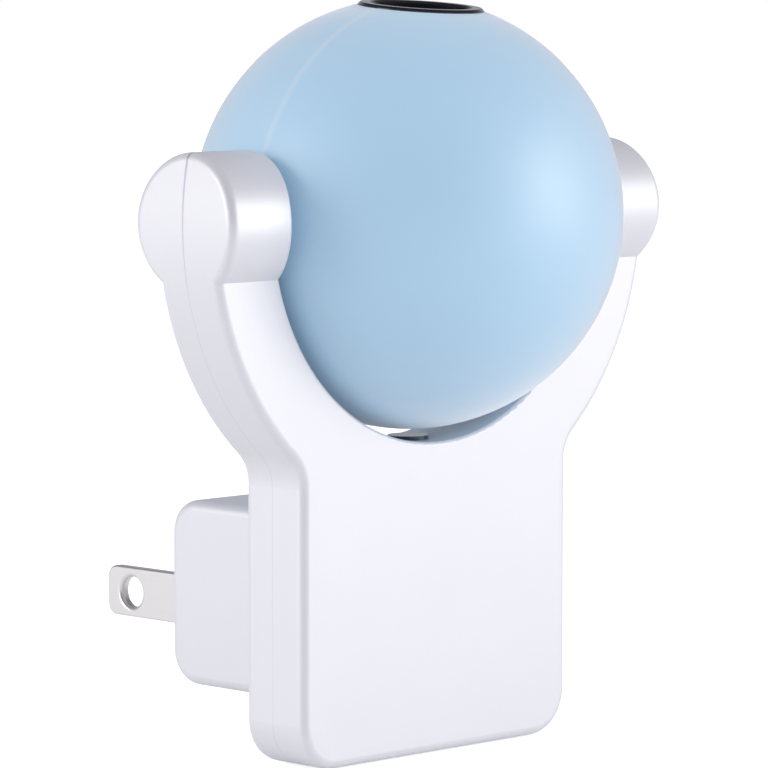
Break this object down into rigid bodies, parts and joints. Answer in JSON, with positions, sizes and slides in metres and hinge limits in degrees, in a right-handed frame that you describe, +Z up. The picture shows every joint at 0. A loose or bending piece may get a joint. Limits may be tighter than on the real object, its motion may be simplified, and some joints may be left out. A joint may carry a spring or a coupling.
{
  "type": "plug-in projector night light",
  "caption": "Forked plug-in night light whose frosted ball tilts on hollow axles and projects a picture through a lens ring in its top.",
  "frame": {"origin": "middle between the two blades, on the plug block's face that meets the outlet", "axes": "+Y into the outlet along the blades, -Y to the front of the lamp, +Z up, +X along the tilt axis"},
  "size_m": [0.0738, 0.0729, 0.0909],
  "materials": {
    "housing": "pearl white, satin moulded",
    "globe": "frosted translucent pale blue",
    "black_gloss": "black, polished",
    "black_inner": "black, matt",
    "lens_glass": "clear, polished",
    "clear_plastic": "clear, polished",
    "window": "dark tinted, polished",
    "film": null,
    "blade_nickel": "nickel plated, satin",
    "screw_steel": "zinc plated",
    "carrier_plastic": "white, moulded",
    "board_green": "green solder mask",
    "board_white": "white solder mask",
    "capacitor_case": "yellow case",
    "can_aluminium": "bare can",
    "component_black": "black epoxy",
    "resistor_body": "tan lacquer",
    "cell_ceramic": "coated ceramic disc",
    "sink_aluminium": "bare, machined",
    "lead_insulation": "white insulation",
    "washer_rubber": "black silicone"
  },
  "bodies": {
    "base": {"front_housing": "housing", "rear_housing": "housing", "housing_screws": "screw_steel", "live_blade": "blade_nickel", "neutral_blade": "blade_nickel", "blade_carrier": "carrier_plastic", "carrier_screws": "screw_steel", "circuit_board": "board_green", "board_screws": "screw_steel", "dropper_capacitor": "capacitor_case", "smoothing_capacitor": "can_aluminium", "rectifier_diodes": "component_black", "resistors": "resistor_body", "sensing_transistor": "component_black", "photocell": "cell_ceramic", "photocell_window": "window", "mains_leads": "lead_insulation", "lamp_leads": "lead_insulation", "friction_washers": "washer_rubber"},
    "globe": {"front_globe_shell": "globe", "rear_globe_shell": "globe", "lens_barrel": "black_gloss", "lens_retaining_ring": "black_inner", "projection_lens": "lens_glass", "projector_tube": "black_inner", "slide_holder": "black_inner", "image_slide": "film", "condenser_lens": "clear_plastic", "condenser_clip": "black_inner", "led": "clear_plastic", "led_board": "board_white", "led_heatsink": "sink_aluminium", "lamp_screws": "screw_steel", "globe_leads": "lead_insulation"}
  },
  "joints": [
    {"name": "globe_tilt", "type": "hinge", "parent": "base", "child": "globe", "pos_m": [0, -0.0304, 0.0495], "axis": [1, 0, 0], "range_deg": [-50, 95]}
  ]
}
